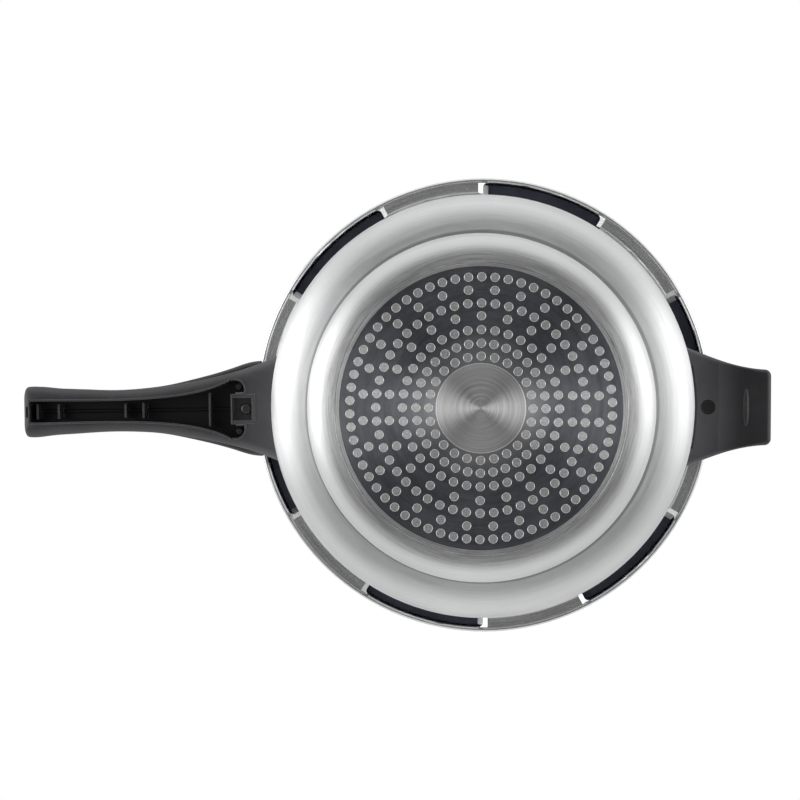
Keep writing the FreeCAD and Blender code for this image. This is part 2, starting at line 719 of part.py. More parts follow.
def make_lid():
    inner = SKIRT_RADIUS - LID_WALL
    roof = LEDGE_Z - LID_WALL
    body = Part.Wire(
        Part.__sortEdges__(
            rounded_edges(
                [
                    (0, LEDGE_Z, 0),
                    (SKIRT_RADIUS, LEDGE_Z, SKIRT_CORNER),
                    (SKIRT_RADIUS, SKIRT_Z, 1.1),
                    (inner, SKIRT_Z, 1.1),
                    (inner, roof, SKIRT_CORNER - LID_WALL),
                    (BEAD_OUTER_RADIUS, roof, 0.8),
                    (BEAD_OUTER_RADIUS, roof - BEAD_DEPTH, 0.8),
                    (BEAD_INNER_RADIUS, roof - BEAD_DEPTH, 0.8),
                    (BEAD_INNER_RADIUS, roof, 0.8),
                    (0, roof, 0),
                ],
                upright,
            )
        )
    )
    rim = Part.Face(body).revolve(ORIGIN, UP, 360)
    rim = rim.cut(cylinder(LEDGE_INNER_RADIUS, (roof - PAST, LEDGE_Z + PAST)))
    outer, inside = dome_edge(0), dome_edge(LID_WALL)
    closing = [
        Part.LineSegment(V(r, 0, z), V(r, 0, z - LID_WALL)).toShape()
        for r, z in ((0, DOME_TOP_Z), (LEDGE_INNER_RADIUS, LEDGE_Z))
    ]
    profile = Part.Wire(Part.__sortEdges__([outer, inside] + closing))
    lid = Part.Face(profile).revolve(ORIGIN, UP, 360).fuse(rim)
    lug_top = RIM_Z - FLANGE_THICKNESS - LUG_PLAY
    lug_z = lug_top - LID_LUG_THICKNESS
    lug = turned(
        [
            (LID_LUG_INNER_RADIUS, lug_z, 1.0),
            (SKIRT_RADIUS, lug_z, 2.4),
            (SKIRT_RADIUS, lug_top + LUG_ROOT, 0),
            (inner, lug_top + LUG_ROOT, 0),
            (inner, lug_top, 0.6),
            (LID_LUG_INNER_RADIUS, lug_top, 0.8),
        ]
    )
    lugs = []
    bevels = []
    for i in range(LUG_COUNT):
        middle = LID_LUG_CENTRE + LUG_STEP * i
        start = middle - LID_LUG_ANGLE / 2
        window_z = (lug_z - 1, lug_top + LUG_ROOT + 1)
        window = sector(LID_LUG_INNER_RADIUS - 1, SKIRT_RADIUS + 1, window_z, start, LID_LUG_ANGLE)
        lugs.append(lug.common(window))
        for side in (-1, 1):
            fillet, bevel = lug_end(side, (lug_z, lug_top))
            for solid in (fillet, bevel):
                solid.rotate(ORIGIN, UP, middle + side * LID_LUG_ANGLE / 2)
            lugs.append(fillet)
            bevels.append(bevel)
    lid = lid.fuse(lugs).cut(bevels)
    lid = seated_hole(lid, (0.0, 0.0), VENT_PAD_RADIUS, VENT_STEM_RADIUS)
    lid = seated_hole(lid, SAFETY_PLACE, SAFETY_PAD_RADIUS, SAFETY_STEM_RADIUS)
    lid = seated_hole(lid, INDICATOR_PLACE, INDICATOR_PAD_RADIUS, INDICATOR_STEM_RADIUS)
    shapes["lid_shell"] = lid.removeSplitter()


def make_gasket():
    low = RIM_Z + GASKET_GAP
    high = LEDGE_Z - LID_WALL - GASKET_GAP
    groove = (low + high) / 2
    shapes["gasket"] = turned(
        [
            (GASKET_INNER_RADIUS, low, 0.8),
            (GASKET_OUTER_RADIUS, low, 1.0),
            (GASKET_OUTER_RADIUS, high - 3.0, 1.0),
            (GASKET_OUTER_RADIUS - 3.0, high, 1.0),
            (GASKET_INNER_RADIUS, high, 0.8),
            (GASKET_INNER_RADIUS, groove + 1.2, 0.4),
            (GASKET_INNER_RADIUS + 4.0, groove + 0.8, 0.4),
            (GASKET_INNER_RADIUS + 4.0, groove - 0.8, 0.4),
            (GASKET_INNER_RADIUS, groove - 1.2, 0.4),
        ]
    )


def lid_envelope():
    """The lid's outside, grown by the handle's fit, to shape the handle's seat."""
    radius = SKIRT_RADIUS + HANDLE_FIT
    corners = [
        (0, SKIRT_Z - PAST, 0),
        (radius, SKIRT_Z - PAST, 0),
        (radius, LEDGE_Z + HANDLE_FIT, SKIRT_CORNER),
        (0, LEDGE_Z + HANDLE_FIT, 0),
    ]
    return turned(corners)


def make_lid_handle():
    low = PARTING_Z + PARTING_GAP / 2

    def top(x):
        if x > LID_HANDLE_RISE_X:
            return LID_HANDLE_TOP_Z
        t = (x - LID_HANDLE_NOSE_X) / (LID_HANDLE_RISE_X - LID_HANDLE_NOSE_X)
        ease = (1 + math.cos(math.pi * max(0.0, t))) / 2
        return LID_HANDLE_TOP_Z + (LID_HANDLE_NOSE_Z - LID_HANDLE_TOP_Z) * ease

    handle = lofted_handle(
        LID_HANDLE_OUTLINE,
        LID_HANDLE_NOSE_X,
        HANDLE_TIP,
        lambda x: low,
        top,
        PARTING_EDGE + 1.0,
        HANDLE_EDGE,
        TIP_EDGE,
    )
    handle = handle.cut([lid_envelope(), slab((low - PAST, low))])
    bracket_z = (LEDGE_Z, LEDGE_Z + BRACKET_THICKNESS)
    roof = LID_HANDLE_TOP_Z - HANDLE_ROOF
    screw_roof = roof - BOSS_HEIGHT
    ribs = cross_ribs(LID_CAVITY_RIBS, (low + RIB_SETBACK, roof + 1))
    rib_room = outline_solid(LID_CAVITY_OUTLINE, (low, roof + 1))
    ribs = [rib.common(rib_room) for rib in ribs]
    bosses = [cylinder(BOSS_RADIUS, (screw_roof, roof + 1), x) for x in LID_SCREW_X]
    handle = handle.cut(outline_solid(LID_CAVITY_OUTLINE, (low - 1, roof))).fuse(ribs + bosses)
    arm_low = screw_roof - BRACKET_THICKNESS
    head_z = (LEDGE_Z, LEDGE_Z + BRACKET_THICKNESS + RIVET_HEAD_HEIGHT + RIVET_ROOM)
    head_radius = RIVET_HEAD_RADIUS + RIVET_ROOM
    head_room = [cylinder(head_radius, head_z, LID_RIVET_X, s * RIVET_Y) for s in (1, -1)]
    drop_x = (LID_BRACKET_BEND_X, LID_BRACKET_BEND_X + BRACKET_THICKNESS)
    across = (-BRACKET_HALF_WIDTH, BRACKET_HALF_WIDTH)
    top_strip = box((LID_BRACKET_X[0], drop_x[1]), across, bracket_z)
    drop = box(drop_x, across, (arm_low, bracket_z[1]))
    arm = box((drop_x[0], LID_BRACKET_X[1]), across, (arm_low, screw_roof))
    bracket = top_strip.fuse([drop, arm]).removeSplitter()
    room = box((LID_BRACKET_X[0] - 1, drop_x[1]), across, bracket_z)
    room = room.fuse([drop, box((drop_x[0], LID_BRACKET_X[1] + 0.5), across, (arm_low, screw_roof))])
    screw_length = BRACKET_THICKNESS + BOSS_HEIGHT
    holes = [cylinder(SCREW_RADIUS, (arm_low - PAST, arm_low + screw_length), x) for x in LID_SCREW_X]
    shapes["lid_handle"] = handle.cut([room] + head_room + holes).removeSplitter()
    rivet_z = (LEDGE_Z - PAST, LEDGE_Z + PAST)
    rivet_holes = [cylinder(RIVET_RADIUS, rivet_z, LID_RIVET_X, s * RIVET_Y) for s in (1, -1)]
    shapes["lid_handle_bracket"] = bracket.cut(holes + rivet_holes)
    shapes["lid_handle_screws"] = [screw(arm_low, screw_length, x) for x in LID_SCREW_X]
    shapes["lid_handle_rivets"] = [
        rivet(LID_WALL + BRACKET_THICKNESS, UP, V(LID_RIVET_X, s * RIVET_Y, LEDGE_Z - LID_WALL))
        for s in (1, -1)
    ]


def under_nut(name, place, top, stem_radius, flats):
    """The sealing washer and nut that clamp a fitting from inside the lid."""
    x, y = polar(*place)
    below = top - LID_WALL
    shapes[name + "_washer"] = ring(stem_radius, flats / 2, (below - WASHER_THICKNESS, below), x, y)
    nut_top = below - WASHER_THICKNESS
    nut = hexagon(flats, (nut_top - NUT_HEIGHT, nut_top), x, y)
    shapes[name + "_nut"] = nut.cut(cylinder(stem_radius, (nut_top - PAST, nut_top + PAST), x, y))
    return nut_top - NUT_HEIGHT


def make_vent():
    place = (0.0, 0.0)
    top = pad_top(place, VENT_PAD_RADIUS)
    nut_low = under_nut("vent_pipe", place, top, VENT_STEM_RADIUS, VENT_HEX_FLATS)
    hex_top = top + VENT_HEX_HEIGHT
    tube_top = hex_top + VENT_TUBE_HEIGHT
    pipe = hexagon(VENT_HEX_FLATS, (top, hex_top)).fuse(
        [
            cylinder(VENT_STEM_RADIUS, (nut_low - STEM_END, top)),
            cylinder(VENT_TUBE_RADIUS, (hex_top, tube_top)),
            Part.makeCone(VENT_TUBE_RADIUS, VENT_TIP_RADIUS, VENT_TIP_HEIGHT, V(0, 0, tube_top)),
        ]
    )
    tip_top = tube_top + VENT_TIP_HEIGHT
    bore = cylinder(VENT_BORE_RADIUS, (nut_low - PAST, tip_top + 1))
    shapes["vent_pipe"] = pipe.cut(bore).removeSplitter()
    weight_low = hex_top + WEIGHT_FLOOR_GAP
    weight_top = weight_low + WEIGHT_HEIGHT
    gap = WEIGHT_BORE_GAP
    seat = tip_top + gap
    shapes["regulator_weight"] = turned(
        [
            (VENT_TUBE_RADIUS + gap, weight_low, 0.6),
            (WEIGHT_RADIUS, weight_low, 1.5),
            (WEIGHT_RADIUS, weight_low + WEIGHT_SHOULDER, 1.5),
            (WEIGHT_NECK_RADIUS, weight_low + WEIGHT_SHOULDER + 2.0, 1.5),
            (WEIGHT_NECK_RADIUS, weight_top, 1.5),
            (0, weight_top, 0),
            (0, seat, 0),
            (VENT_TIP_RADIUS + gap, seat, 0),
            (VENT_TUBE_RADIUS + gap, tube_top + gap, 0),
        ]
    )
    shapes["regulator_cap"] = turned(
        [
            (0, weight_top, 0),
            (CAP_RADIUS, weight_top, 0.8),
            (CAP_RADIUS, weight_top + 2.0, 0.8),
            (CAP_NECK_RADIUS, weight_top + CAP_HEIGHT / 2, 2.0),
            (CAP_TOP_RADIUS, weight_top + CAP_HEIGHT, 2.5),
            (0, weight_top + CAP_HEIGHT, 0),
        ]
    )


def make_safety_plug():
    top = pad_top(SAFETY_PLACE, SAFETY_PAD_RADIUS)
    x, y = polar(*SAFETY_PLACE)
    nut_low = under_nut("safety_plug", SAFETY_PLACE, top, SAFETY_STEM_RADIUS, SAFETY_HEX_FLATS)
    hex_top = top + SAFETY_HEIGHT / 2
    head = hexagon(SAFETY_HEX_FLATS, (top, hex_top), x, y)
    dome_radii = (SAFETY_HEX_FLATS / 2 - 1, SAFETY_CORE_RADIUS + 1)
    dome = Part.makeCone(*dome_radii, SAFETY_HEIGHT / 2, V(x, y, hex_top))
    stem_low = nut_low - STEM_END
    stem = cylinder(SAFETY_STEM_RADIUS, (stem_low, top), x, y)
    bore = cylinder(SAFETY_CORE_RADIUS, (nut_low - PAST, top + SAFETY_HEIGHT + PAST), x, y)
    shapes["safety_plug"] = head.fuse([dome, stem]).cut(bore).removeSplitter()
    core_top = top + SAFETY_HEIGHT - SAFETY_CORE_DISH
    shapes["safety_plug_core"] = cylinder(SAFETY_CORE_RADIUS, (stem_low, core_top), x, y)


def make_indicator():
    top = pad_top(INDICATOR_PLACE, INDICATOR_PAD_RADIUS)
    x, y = polar(*INDICATOR_PLACE)
    nut_low = under_nut("indicator", INDICATOR_PLACE, top, INDICATOR_STEM_RADIUS, INDICATOR_HEX_FLATS)
    bush_top = top + INDICATOR_BUSH_HEIGHT
    bush = hexagon(INDICATOR_HEX_FLATS, (top, bush_top), x, y)
    bush_low = nut_low - STEM_END
    bush = bush.fuse(cylinder(INDICATOR_STEM_RADIUS, (bush_low, top), x, y))
    bore = cylinder(PIN_RADIUS + PIN_CLEARANCE, (nut_low - PAST, bush_top + 1), x, y)
    shapes["indicator_bush"] = bush.cut(bore).removeSplitter()
    seal_top = bush_low - PIN_TRAVEL - PIN_PLAY
    head_z = (bush_top + PIN_SEAT_GAP, bush_top + PIN_HEAD_HEIGHT)
    head = cylinder(PIN_HEAD_RADIUS, head_z, x, y)
    rim = [e for e in head.Edges if e.BoundBox.ZMin > head_z[1] - 0.01]
    head = head.makeFillet(PIN_HEAD_FILLET, rim)
    foot_top = seal_top - SEAL_THICKNESS
    foot_low = foot_top - PIN_FOOT_THICKNESS
    foot = cylinder(PIN_HEAD_RADIUS, (foot_low, foot_top), x, y)
    stem = cylinder(PIN_RADIUS, (foot_low, bush_top + 1), x, y)
    shapes["indicator_pin"] = head.fuse([foot, stem]).removeSplitter()
    shapes["indicator_seal"] = ring(PIN_RADIUS, PIN_HEAD_RADIUS, (foot_top, seal_top), x, y)


def turn_handles(prefix, angle):
    """Turns a handle and everything fixed to it about the pot's axis, to where its rivets hold it."""
    for name, made in shapes.items():
        if name.startswith(prefix):
            for solid in made if isinstance(made, list) else [made]:
                solid.rotate(ORIGIN, UP, angle)


def export():
    """Writes each node; a list of solids is one node of identical pieces."""
    os.makedirs("parts", exist_ok=True)
    for name, shape in shapes.items():
        if isinstance(shape, list):
            shape = Part.makeCompound(shape)
        solids = len(shape.Solids)
        print(f"{name}: {solids} solid(s), {shape.Volume / 1000:.2f} cm3, valid {shape.isValid()}")
        if solids == 1:
            shape = shape.Solids[0]
        shape.exportStep(f"parts/{name}.step")


make_pot()
make_body_handle()
make_helper_handle()
make_lid()
make_gasket()
make_lid_handle()
make_vent()
make_safety_plug()
make_indicator()
for name in ("body_handle_bracket", "helper_handle_bracket"):
    shapes[name] = shapes[name].cut(shapes[name.replace("bracket", "rivets")])
turn_handles("body_handle", LONG_HANDLE_TURN)
turn_handles("lid_handle", LONG_HANDLE_TURN)
turn_handles("helper", HELPER_TURN)
shapes["pot_body"] = shapes["pot_body"].cut(shapes["body_handle_rivets"] + shapes["helper_handle_rivets"])
shapes["lid_shell"] = shapes["lid_shell"].cut(shapes["lid_handle_rivets"])
export()
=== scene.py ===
"""Looks of the stovetop pressure cooker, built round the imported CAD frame."""
import math

import bmesh
import bpy
from mathutils import Matrix, Vector


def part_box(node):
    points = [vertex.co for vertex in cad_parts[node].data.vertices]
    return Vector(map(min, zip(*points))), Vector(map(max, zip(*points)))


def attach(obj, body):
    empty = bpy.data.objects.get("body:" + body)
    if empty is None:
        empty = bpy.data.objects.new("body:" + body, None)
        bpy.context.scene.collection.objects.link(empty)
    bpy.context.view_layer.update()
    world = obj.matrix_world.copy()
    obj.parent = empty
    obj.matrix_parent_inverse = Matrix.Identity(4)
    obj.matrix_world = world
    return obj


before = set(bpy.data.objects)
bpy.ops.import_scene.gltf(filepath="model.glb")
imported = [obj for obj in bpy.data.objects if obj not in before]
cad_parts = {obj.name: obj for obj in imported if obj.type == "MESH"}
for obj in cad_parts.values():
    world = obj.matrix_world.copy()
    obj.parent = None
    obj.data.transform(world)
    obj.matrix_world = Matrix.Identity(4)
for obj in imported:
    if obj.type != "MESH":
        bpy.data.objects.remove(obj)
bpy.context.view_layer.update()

# Camera: below the pot, nearly on its axis, looking up
EYE = Vector((-0.010, 0.0145, -1.15))
TARGET = Vector((0.0398, 0.0043, 0.0))
LENS_MM = 105.1
SENSOR_MM = 36.0
ROLL = math.radians(-0.4)

# The studio: (height of the direction, brightness), then what each panel adds and how far the X panels lean
SKY_STOPS = (
    (-1.0, 0.11),
    (-0.87, 0.15),
    (-0.64, 0.42),
    (-0.34, 0.72),
    (-0.1, 0.92),
    (0.25, 0.80),
    (1.0, 0.3),
)
PLUS_X_PANEL = 1.65
MINUS_X_PANEL = 1.25
PANEL_LEAN = math.radians(8.0)
PLUS_Y_PANEL = 0.16
PLUS_Y_BAND = 0.22
MINUS_Y_PANEL = 0.34

# The base: the plate, the middle disc inside it, and its pegs as (count, ring radius, offset in half steps)
plate_low, plate_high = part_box("induction_plate")
PLATE_RADIUS = (plate_high.x - plate_low.x) / 2
PLATE_BORE = 0.0223
PEG_RADIUS = 0.002125
PEG_TURN = math.radians(0.8)
PEG_RINGS = (
    (62, 0.0647, 1),
    (28, 0.0584, 1),
    (48, 0.0518, 0),
    (22, 0.0455, 1),
    (36, 0.0387, 0),
    (32, 0.0320, 0),
    (24, 0.0257, 0),
)

# Where the finishes change, where shade and sheen are painted, and where the plastic turns lighter, as
# distances from the pot's axis and heights
BASE_FACE_Z = 0.0004
CORNER_Z = 0.012
# Painted shade: the base's corner is darkened with streaks between these radii
SHADED_CORNER_RADII = (0.0705, 0.0760)
# Painted shade: a dark line is painted in the step's crease within these radii and heights
CREASE_RADII = (0.0885, 0.0912)
CREASE_HEIGHTS = (0.056, 0.0592)
# Painted sheen: the plate turns brighter inward of this radius
PLATE_SHEEN_RADIUS = 0.038
# The plastic turns lighter between these radii, towards the pot's wall
NEAR_POT_RADII = (0.138, 0.112)
LID_RIM_RADII = (0.100, 0.112)
# Painted shade: the body handle's hollow is darkened above this height
HOLLOW_Z = 0.1135

# How bright bare aluminium is, and the floor's half width and its drop below the object
ALUMINIUM = 0.88
FLOOR_HALF = 6.0
FLOOR_DROP = 0.0002


class Graph:
    """An emptied node tree and short ways to add nodes to it."""

    def __init__(self, tree):
        self.tree = tree
        tree.nodes.clear()

    def add(self, kind, **settings):
        node = self.tree.nodes.new(kind)
        for name, value in settings.items():
            setattr(node, name, value)
        return node

    def link(self, source, target):
        self.tree.links.new(source, target)

    def feed(self, socket, value):
        """Sets a socket to a number, a colour or another node's output."""
        if isinstance(value, bpy.types.NodeSocket):
            self.link(value, socket)
        else:
            socket.default_value = value

    def math(self, operation, *values):
        node = self.add("ShaderNodeMath", operation=operation)
        for socket, value in zip(node.inputs, values):
            self.feed(socket, value)
        return node.outputs[0]

    def separate(self, vector):
        node = self.add("ShaderNodeSeparateXYZ")
        self.link(vector, node.inputs[0])
        return node.outputs

    def combine(self, x, y, z):
        node = self.add("ShaderNodeCombineXYZ")
        for socket, value in zip(node.inputs, (x, y, z)):
            self.feed(socket, value)
        return node.outputs[0]

    def noise(self, vector, scale, detail=4.0, roughness=0.5):
        node = self.add("ShaderNodeTexNoise")
        self.link(vector, node.inputs["Vector"])
        node.inputs["Scale"].default_value = scale
        node.inputs["Detail"].default_value = detail
        node.inputs["Roughness"].default_value = roughness
        return node.outputs["Fac"]

    def spread(self, value, low, high, out_low=0.0, out_high=1.0):
        """Maps a value's range to another, clamped."""
        node = self.add("ShaderNodeMapRange")
        for socket, number in zip(node.inputs, (value, low, high, out_low, out_high)):
            self.feed(socket, number)
        return node.outputs[0]

    def mix(self, factor, first, second):
        node = self.add("ShaderNodeMix", data_type="RGBA")
        for socket, value in zip((node.inputs[0], node.inputs[6], node.inputs[7]), (factor, first, second)):
            self.feed(socket, value)
        return node.outputs[2]

    def bump(self, height, distance, strength=1.0, normal=None):
        node = self.add("ShaderNodeBump")
        node.inputs["Strength"].default_value = strength
        node.inputs["Distance"].default_value = distance
        self.link(height, node.inputs["Height"])
        if normal is not None:
            self.link(normal, node.inputs["Normal"])
        return node.outputs[0]


class Material(Graph):
    """A Principled material."""

    def __init__(self, name, **values):
        self.material = bpy.data.materials.new(name)
        self.material.use_nodes = True
        super().__init__(self.material.node_tree)
        self.output = self.add("ShaderNodeOutputMaterial")
        self.shader = self.add("ShaderNodeBsdfPrincipled")
        self.link(self.shader.outputs[0], self.output.inputs["Surface"])
        for socket, value in values.items():
            self.shader.inputs[socket.replace("_", " ")].default_value = value
        self.position = self.add("ShaderNodeTexCoord").outputs["Object"]

    def edges(self, radius, low=0.03, high=0.30):
        """Softens sharp edges; returns the softened normal and how near an edge each point is."""
        bevel = self.add("ShaderNodeBevel", samples=6)
        bevel.inputs["Radius"].default_value = radius
        true = self.add("ShaderNodeNewGeometry").outputs["True Normal"]
        node = self.add("ShaderNodeVectorMath", operation="DOT_PRODUCT")
        self.link(bevel.outputs[0], node.inputs[0])
        self.link(true, node.inputs[1])
        bend = self.math("SUBTRACT", 1.0, node.outputs["Value"])
        return bevel.outputs[0], self.spread(bend, low, high)

    def set(self, socket, value):
        self.feed(self.shader.inputs[socket], value)


def grey(value, tint=0.0):
    """A grey with an optional cool tint, as a colour."""
    return (value, value * (1 + tint * 0.5), value * (1 + tint), 1.0)


def dark(value):
    """A near-black with a faint violet cast, as a colour."""
    return (value, value * 0.965, value * 1.06, 1.0)


def polar_position(m, origin=(0.0, 0.0)):
    """Distance from an upright axis, height, and the direction round it as a unit vector."""
    x, y, z = m.separate(m.position)
    x = m.math("SUBTRACT", x, origin[0])
    y = m.math("SUBTRACT", y, origin[1])
    radius = m.math("SQRT", m.math("ADD", m.math("MULTIPLY", x, x), m.math("MULTIPLY", y, y)))
    safe = m.math("MAXIMUM", radius, 1e-5)
    return radius, z, m.math("DIVIDE", x, safe), m.math("DIVIDE", y, safe)


def turning_marks(m, radius, height, round_x, round_y, fine, along=0.25):
    """Fine marks that run round the axis: nearly even round it, quick across it."""
    across = m.math("MULTIPLY", m.math("ADD", radius, height), fine)
    return m.combine(across, m.math("MULTIPLY", round_x, along), m.math("MULTIPLY", round_y, along))


def radial_tangent(m):
    """Turns the brushing's direction round the axis, so that highlights spread away from it."""
    node = m.add("ShaderNodeTangent", direction_type="RADIAL", axis="Z")
    m.link(node.outputs[0], m.shader.inputs["Tangent"])
    m.shader.inputs["Anisotropic Rotation"].default_value = 0.25


def spun_aluminium(name, roughness):
    """Spun aluminium with fine marks round the axis, broader streaks, a few scuffs and faint smears."""
    m = Material(name, Metallic=1.0, IOR=1.5)
    radius, height, round_x, round_y = polar_position(m)
    marks = m.noise(turning_marks(m, radius, height, round_x, round_y, 1500.0, 1.2), 1.0, 6.0, 0.75)
    streaks = m.noise(turning_marks(m, radius, height, round_x, round_y, 260.0, 2.2), 1.0, 5.0, 0.7)
    smears = m.noise(m.position, 22.0, 4.0, 0.55)
    scuffs = m.spread(m.noise(m.position, 240.0, 6.0, 0.8), 0.66, 0.74)
    shade = m.math("ADD", m.math("MULTIPLY", streaks, 0.6), m.math("MULTIPLY", smears, 0.4))
    colour = m.mix(m.spread(shade, 0.36, 0.62), grey(ALUMINIUM * 0.86, 0.012), grey(ALUMINIUM, 0.01))
    m.set("Base Color", m.mix(m.math("MULTIPLY", scuffs, 0.5), colour, grey(ALUMINIUM * 0.7)))
    worn = m.math("ADD", m.math("MULTIPLY", marks, 0.6), m.math("MULTIPLY", streaks, 0.6))
    rough = m.spread(worn, 0.35, 0.85, roughness * 0.7, roughness * 1.3)
    m.set("Roughness", m.math("ADD", rough, m.math("MULTIPLY", scuffs, 0.08)))
    normal = m.bump(marks, 0.00008, 0.6)
    m.set("Normal", m.bump(streaks, 0.0004, 0.3, normal))
    radial_tangent(m)
    return m


def band(m, value, low, high, edge):
    """One between two values, falling to nought over an edge's width on both sides."""
    rise = m.spread(value, low - edge, low)
    fall = m.spread(value, high + edge, high)
    return m.math("MULTIPLY", rise, fall)


def pot_aluminium():
    """The pot: spun walls, painted shade on the base corner and in the step's crease, the pegs, and the
    turned disc with a painted highlight round its rim.
    """
    m = spun_aluminium("pot_aluminium", 0.42)
    radius, height, round_x, round_y = polar_position(m)
    on_base = m.math("LESS_THAN", height, BASE_FACE_Z)
    in_plate = m.math("LESS_THAN", radius, PLATE_RADIUS + 0.0002)
    in_disc = m.math("LESS_THAN", radius, PLATE_BORE + 0.0001)
    pegs = m.math("MULTIPLY", m.math("MULTIPLY", on_base, in_plate), m.math("SUBTRACT", 1.0, in_disc))
    disc = m.math("MULTIPLY", on_base, in_disc)
    spun = m.shader.inputs["Base Color"].links[0].from_socket
    spun_rough = m.shader.inputs["Roughness"].links[0].from_socket
    # Painted shade: dark streaks on the base's corner, and a dark line in the step's crease
    wear_and_painted_light = m.noise(turning_marks(m, radius, height, round_x, round_y, 700.0, 3.0), 1.0, 6.0, 0.8)
    corner = m.math("MULTIPLY", band(m, radius, *SHADED_CORNER_RADII, 0.005), m.math("LESS_THAN", height, CORNER_Z))
    painted_corner_shade = m.math("MULTIPLY", m.spread(wear_and_painted_light, 0.42, 0.62, 0.45, 1.0), corner)
    # Painted shade: a dark band along the step's crease
    near_step = band(m, radius, *CREASE_RADII, 0.0007)
    painted_crease_shade = m.math("MULTIPLY", near_step, band(m, height, *CREASE_HEIGHTS, 0.0008))
    colour = m.mix(m.math("MULTIPLY", painted_corner_shade, 0.8), spun, grey(0.34))
    colour = m.mix(m.math("MULTIPLY", painted_crease_shade, 0.55), colour, grey(0.22))
    blotch = m.noise(m.position, 900.0, 2.0)
    peg_colour = m.mix(m.spread(blotch, 0.3, 0.7), grey(0.52), grey(0.74))
    colour = m.mix(pegs, colour, peg_colour)
    rings = m.noise(turning_marks(m, radius, height, round_x, round_y, 1800.0, 0.3), 1.0, 4.0, 0.8)
    turned = m.mix(m.spread(rings, 0.36, 0.64), grey(0.46), grey(0.74))
    # Painted highlight: a near-white ring round the rim of the turned disc
    edge = m.spread(radius, PLATE_BORE - 0.0006, PLATE_BORE - 0.0003)
    m.set("Base Color", m.mix(disc, colour, m.mix(edge, turned, grey(0.95))))
    m.set("Anisotropic", m.math("ADD", m.math("MULTIPLY", disc, 0.18), 0.8))
    turned_rough = m.spread(rings, 0.3, 0.7, 0.36, 0.50)
    base_rough = m.math("ADD", m.math("MULTIPLY", pegs, 0.44), m.math("MULTIPLY", disc, turned_rough))
    on_wall = m.math("SUBTRACT", 1.0, m.math("MAXIMUM", pegs, disc))
    m.set("Roughness", m.math("ADD", base_rough, m.math("MULTIPLY", on_wall, spun_rough)))
    return m


def lid_aluminium():
    """The lid: a spun dome, and a skirt and lugs polished plain."""
    m = spun_aluminium("lid_aluminium", 0.26)
    radius = polar_position(m)[0]
    m.set("Anisotropic", m.spread(radius, *LID_RIM_RADII, 0.6, 0.1))
    return m


def induction_steel():
    """Dark ferritic steel, turned in fine rings, with stains, and a painted sheen brighter towards the
    middle.
    """
    m = Material("induction_steel", Metallic=1.0, Anisotropic=0.97, IOR=1.5)
    radius, height, round_x, round_y = polar_position(m)
    rings = m.noise(turning_marks(m, radius, height, round_x, round_y, 1500.0, 0.8), 1.0, 5.0, 0.8)
    streaks = m.noise(turning_marks(m, radius, height, round_x, round_y, 240.0, 1.6), 1.0, 4.0, 0.7)
    stains = m.noise(m.position, 42.0, 5.0, 0.65)
    specks = m.spread(m.noise(m.position, 520.0, 3.0, 0.6), 0.68, 0.74)
    tone = m.math("ADD", m.math("MULTIPLY", streaks, 0.5), m.math("MULTIPLY", stains, 0.5))
    colour = m.mix(m.spread(tone, 0.38, 0.62), (0.112, 0.115, 0.130, 1), (0.195, 0.200, 0.217, 1))
    # Painted sheen: brighter towards the disc in the middle
    wear_and_painted_light = m.spread(radius, PLATE_SHEEN_RADIUS, PLATE_BORE + 0.001, 0.0, 0.55)
    colour = m.mix(wear_and_painted_light, colour, (0.46, 0.465, 0.48, 1))
    m.set("Base Color", m.mix(m.math("MULTIPLY", specks, 0.5), colour, grey(0.4)))
    rough = m.spread(rings, 0.3, 0.7, 0.40, 0.58)
    m.set("Roughness", m.math("SUBTRACT", rough, m.math("MULTIPLY", wear_and_painted_light, 0.12)))
    m.set("Normal", m.bump(rings, 0.00006, 0.6))
    radial_tangent(m)
    return m


def moulded_plastic(name, tone, roughness, hollow_z=None, near_pot_lightness=2.3, edge_highlight_tone=0.24):
    """Satin moulded phenolic: a fine grain, flow lines and wear, lighter towards the pot's wall, painted
    highlights on its edges, and painted shade inside a hollow above a height.
    """
    m = Material(name, IOR=1.5, Specular_IOR_Level=0.45)
    grain = m.noise(m.position, 2600.0, 2.0, 0.6)
    flow = m.noise(m.position, 35.0, 5.0, 0.6)
    wear = m.spread(m.noise(m.position, 220.0, 4.0, 0.7), 0.55, 0.75)
    colour = m.mix(m.spread(flow, 0.35, 0.65), dark(tone * 0.85), dark(tone * 1.15))
    colour = m.mix(m.math("MULTIPLY", wear, 0.25), colour, dark(tone * 1.9))
    # Lighter towards the pot's wall
    radius = polar_position(m)[0]
    lighter_near_pot = m.math("MULTIPLY", m.spread(radius, *NEAR_POT_RADII), m.spread(flow, 0.2, 0.6, 0.6, 1.0))
    colour = m.mix(lighter_near_pot, colour, dark(tone * near_pot_lightness))
    # Painted highlight: sharp edges are lightened, as if they caught the light
    soft, edge = m.edges(0.0007)
    colour = m.mix(m.math("MULTIPLY", edge, 0.8), colour, grey(edge_highlight_tone))
    # Painted shade: faces looking down inside the hollow, above the given height, are darkened
    if hollow_z is not None:
        facing = m.separate(m.add("ShaderNodeTexCoord").outputs["Normal"])[2]
        depth = m.spread(m.separate(m.position)[2], hollow_z, hollow_z + 0.003)
        painted_hollow_shade = m.math("MULTIPLY", depth, m.math("LESS_THAN", facing, -0.6))
        colour = m.mix(painted_hollow_shade, colour, grey(tone * 0.15))
    m.set("Base Color", colour)
    dulled = m.math("ADD", flow, m.math("MULTIPLY", wear, 0.4))
    m.set("Roughness", m.spread(dulled, 0.4, 1.0, roughness * 0.85, roughness * 1.2))
    normal = m.bump(grain, 0.00006, 0.35, soft)
    m.set("Normal", m.bump(flow, 0.0006, 0.08, normal))
    return m


